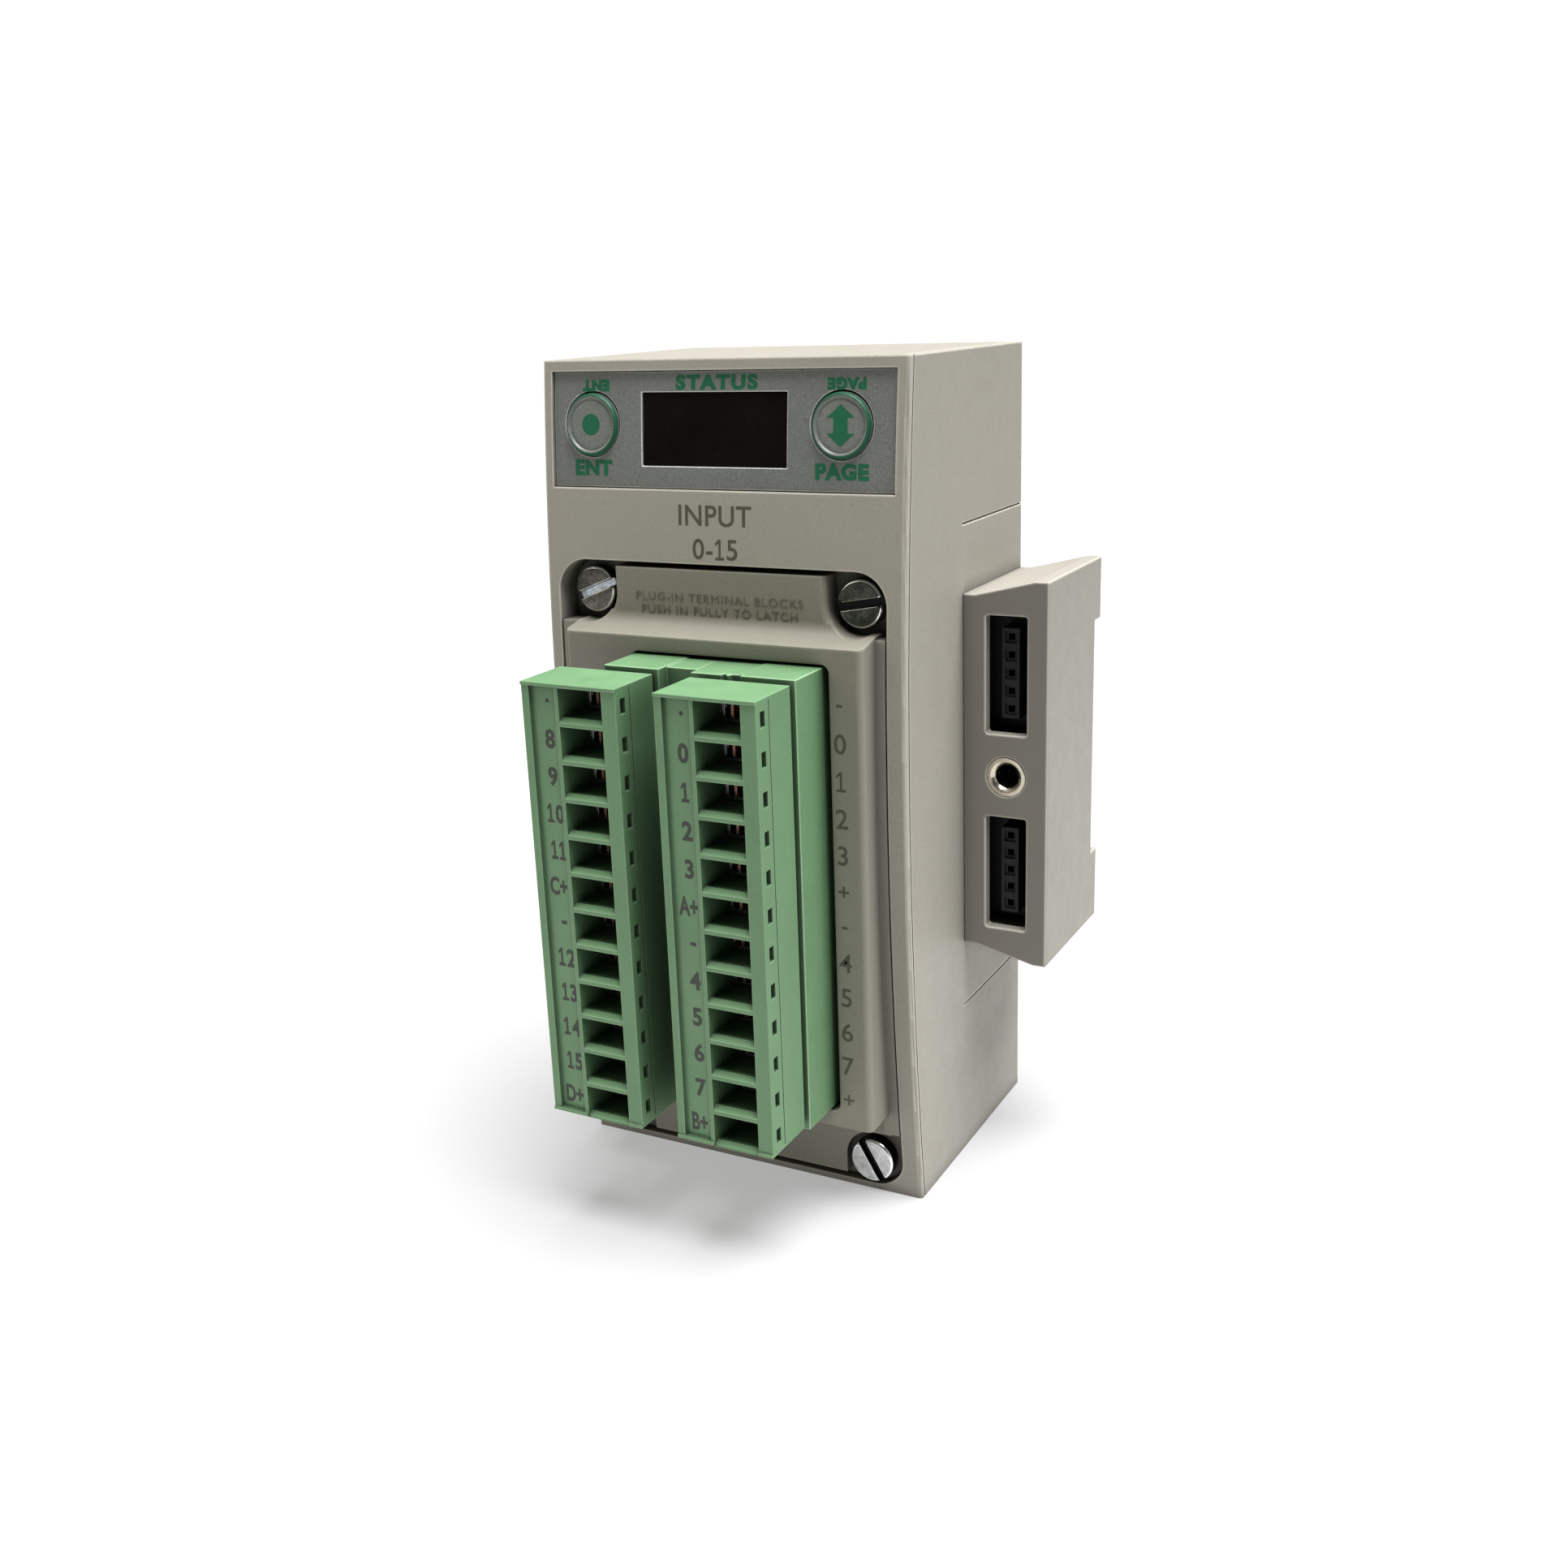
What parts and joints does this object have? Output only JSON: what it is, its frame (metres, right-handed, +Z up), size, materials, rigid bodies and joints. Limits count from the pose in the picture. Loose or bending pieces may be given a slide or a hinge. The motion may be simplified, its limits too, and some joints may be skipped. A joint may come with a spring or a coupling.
{
  "type": "programmable controller input module",
  "caption": "Rail-mounted controller input module with display, two keys, two pull-off terminal plugs and a side bus clip for the next module.",
  "frame": {"origin": "centre of the housing's bottom face", "axes": "+Z up, the bowed front with the terminals faces -Y, +X to the right seen from the front, towards the bus clip"},
  "size_m": [0.0669, 0.0643, 0.1165],
  "materials": {
    "housing_plastic": "satin, fine texture",
    "cover_plastic": "satin, fine texture",
    "clip_plastic": "satin",
    "overlay_film": "satin film, printed",
    "key_film": "satin film, printed",
    "smoked_window": "glossy",
    "display_black": "glossy",
    "terminal_green": "satin",
    "connector_black": "matt",
    "board_green": "satin laminate",
    "component_black": "matt",
    "component_white": "matt",
    "capacitor_can": "satin",
    "zinc_steel": "satin",
    "tinned_contact": "satin",
    "insert_brass": "satin"
  },
  "bodies": {
    "housing": {"housing_shell": "housing_plastic", "side_cover": "cover_plastic", "terminal_plate": "housing_plastic", "plate_screws": "zinc_steel", "overlay_membrane": "overlay_film", "display_window": "smoked_window", "display_module": "display_black", "select_switch": "component_black", "page_switch": "component_black", "terminal_board": "board_green", "main_board": "board_green", "display_board": "board_green", "clip_board": "component_black", "terminal_board_screws": "zinc_steel", "main_board_screws": "zinc_steel", "display_board_screws": "zinc_steel", "input_couplers": "component_white", "logic_chips": "component_black", "smoothing_capacitors": "capacitor_can", "terminal_link_header": "connector_black", "terminal_link_socket": "connector_black", "terminal_link_pins": "tinned_contact", "clip_link": "connector_black", "display_link": "connector_black", "header_left": "terminal_green", "header_pins_left": "tinned_contact", "header_right": "terminal_green", "header_pins_right": "tinned_contact", "bus_clip": "clip_plastic", "clip_insert": "insert_brass", "clip_screws": "zinc_steel", "bus_socket_upper": "connector_black", "bus_contacts_upper": "tinned_contact", "bus_socket_lower": "connector_black", "bus_contacts_lower": "tinned_contact", "bus_strip_upper": "connector_black", "bus_pins_upper": "tinned_contact", "bus_strip_lower": "connector_black", "bus_pins_lower": "tinned_contact"},
    "select_key": {"select_key": "key_film", "select_plunger": "component_black"},
    "page_key": {"page_key": "key_film", "page_plunger": "component_black"},
    "plug_left": {"plug_body_left": "terminal_green", "clamp_cages_left": "zinc_steel", "clamp_screws_left": "zinc_steel", "contacts_left": "tinned_contact"},
    "plug_right": {"plug_body_right": "terminal_green", "clamp_cages_right": "zinc_steel", "clamp_screws_right": "zinc_steel", "contacts_right": "tinned_contact"}
  },
  "joints": [
    {"name": "select_key_press", "type": "slide", "parent": "housing", "child": "select_key", "axis": [0, 0.9953, -0.097], "range_m": [0, 0.0004], "stiffness_N_per_m": 4000, "springref_m": -0.00005},
    {"name": "page_key_press", "type": "slide", "parent": "housing", "child": "page_key", "axis": [0, 0.9953, -0.097], "range_m": [0, 0.0004], "stiffness_N_per_m": 4000, "springref_m": -0.00005},
    {"name": "plug_left_pull_off", "type": "slide", "parent": "housing", "child": "plug_left", "axis": [0, -1, 0], "range_m": [0, 0.02]},
    {"name": "plug_right_pull_off", "type": "slide", "parent": "housing", "child": "plug_right", "axis": [0, -1, 0], "range_m": [0, 0.02]}
  ]
}
